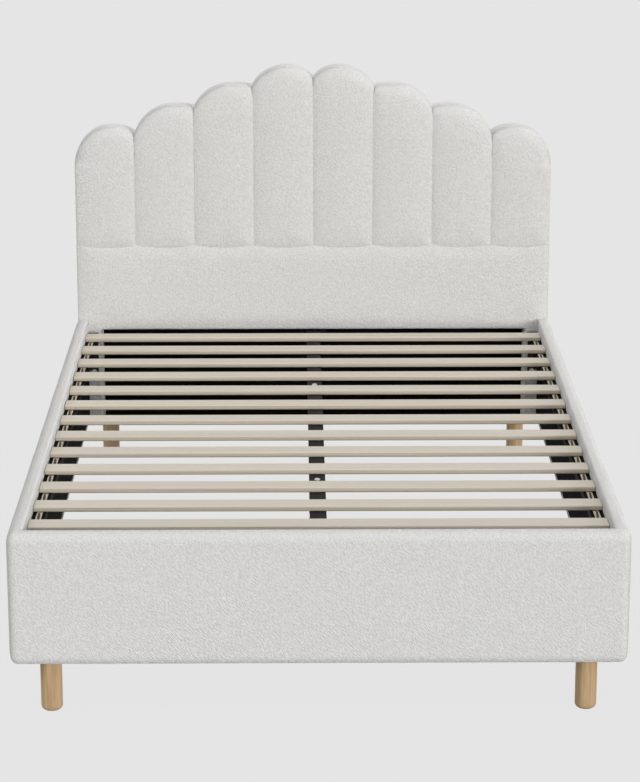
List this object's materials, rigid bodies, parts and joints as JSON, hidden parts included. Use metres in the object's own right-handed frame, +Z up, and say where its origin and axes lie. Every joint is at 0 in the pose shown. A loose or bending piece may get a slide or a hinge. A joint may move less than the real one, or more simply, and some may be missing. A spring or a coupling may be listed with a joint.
{
  "type": "upholstered bed",
  "caption": "Double bed in white looped fabric with a scalloped, vertically channelled headboard, low padded rails, loose wooden slats on straps, a black centre beam and round wooden legs.",
  "frame": {"origin": "on the floor under the middle of the bed's overall length and width", "axes": "+Z up, +Y from the foot end to the headboard, +X to the right as seen from the foot end"},
  "size_m": [1.476, 2.219, 1.241],
  "materials": {
    "boucle": "white looped boucle over foam",
    "back_cloth": "plain woven cloth over hardboard",
    "black_lining": "black non-woven lining",
    "slat_wood": "pale sanded wood",
    "leg_wood": "oiled honey-coloured wood",
    "frame_timber": "raw timber and plywood",
    "black_timber": "black stained batten",
    "strap_webbing": "cream woven webbing",
    "black_steel": "black powder coat",
    "bronze_steel": "dark bronze coat",
    "zinc_steel": "bright zinc plate",
    "black_plastic": "matt black"
  },
  "bodies": {
    "bed_frame": {"beam_hangers": "black_steel", "bracket_bolts": "zinc_steel", "centre_beam": "black_steel", "centre_leg_back": "black_steel", "centre_leg_bolts": "zinc_steel", "centre_leg_front": "black_steel", "corner_blocks": "frame_timber", "corner_brackets": "bronze_steel", "foot_rail_board": "frame_timber", "foot_rail_cover": "boucle", "foot_rail_lining": "black_lining", "headboard_back_cover": "back_cloth", "headboard_bottom_rail": "frame_timber", "headboard_channel_1": "boucle", "headboard_channel_2": "boucle", "headboard_channel_3": "boucle", "headboard_channel_4": "boucle", "headboard_channel_5": "boucle", "headboard_channel_6": "boucle", "headboard_channel_7": "boucle", "headboard_channel_8": "boucle", "headboard_edge_strip": "boucle", "headboard_front_board": "frame_timber", "headboard_lining": "black_lining", "headboard_lower_pad": "boucle", "headboard_middle_rail": "frame_timber", "headboard_post_left": "boucle", "headboard_post_right": "boucle", "headboard_stiles": "frame_timber", "headboard_top_frame": "frame_timber", "leg_back_left": "leg_wood", "leg_back_right": "leg_wood", "leg_front_left": "leg_wood", "leg_front_right": "leg_wood", "leg_studs": "zinc_steel", "side_rail_board_left": "frame_timber", "side_rail_board_right": "frame_timber", "side_rail_cover_left": "boucle", "side_rail_cover_right": "boucle", "side_rail_lining_left": "black_lining", "side_rail_lining_right": "black_lining", "slat_ledge_left": "black_timber", "slat_ledge_right": "black_timber"},
    "slat_roll": {"slat_01": "slat_wood", "slat_02": "slat_wood", "slat_03": "slat_wood", "slat_04": "slat_wood", "slat_05": "slat_wood", "slat_06": "slat_wood", "slat_07": "slat_wood", "slat_08": "slat_wood", "slat_09": "slat_wood", "slat_10": "slat_wood", "slat_11": "slat_wood", "slat_12": "slat_wood", "slat_13": "slat_wood", "slat_strap_left": "strap_webbing", "slat_strap_right": "strap_webbing"},
    "levelling_foot_front": {"levelling_foot_front": "black_plastic"},
    "levelling_foot_back": {"levelling_foot_back": "black_plastic"}
  },
  "joints": [
    {"name": "slat_lift", "type": "slide", "parent": "bed_frame", "child": "slat_roll", "axis": [0, 0, 1], "range_m": [0, 0.3]},
    {"name": "levelling_foot_front_travel", "type": "slide", "parent": "bed_frame", "child": "levelling_foot_front", "axis": [0, 0, 1], "range_m": [0, 0.015]},
    {"name": "levelling_foot_back_travel", "type": "slide", "parent": "bed_frame", "child": "levelling_foot_back", "axis": [0, 0, 1], "range_m": [0, 0.015]}
  ]
}
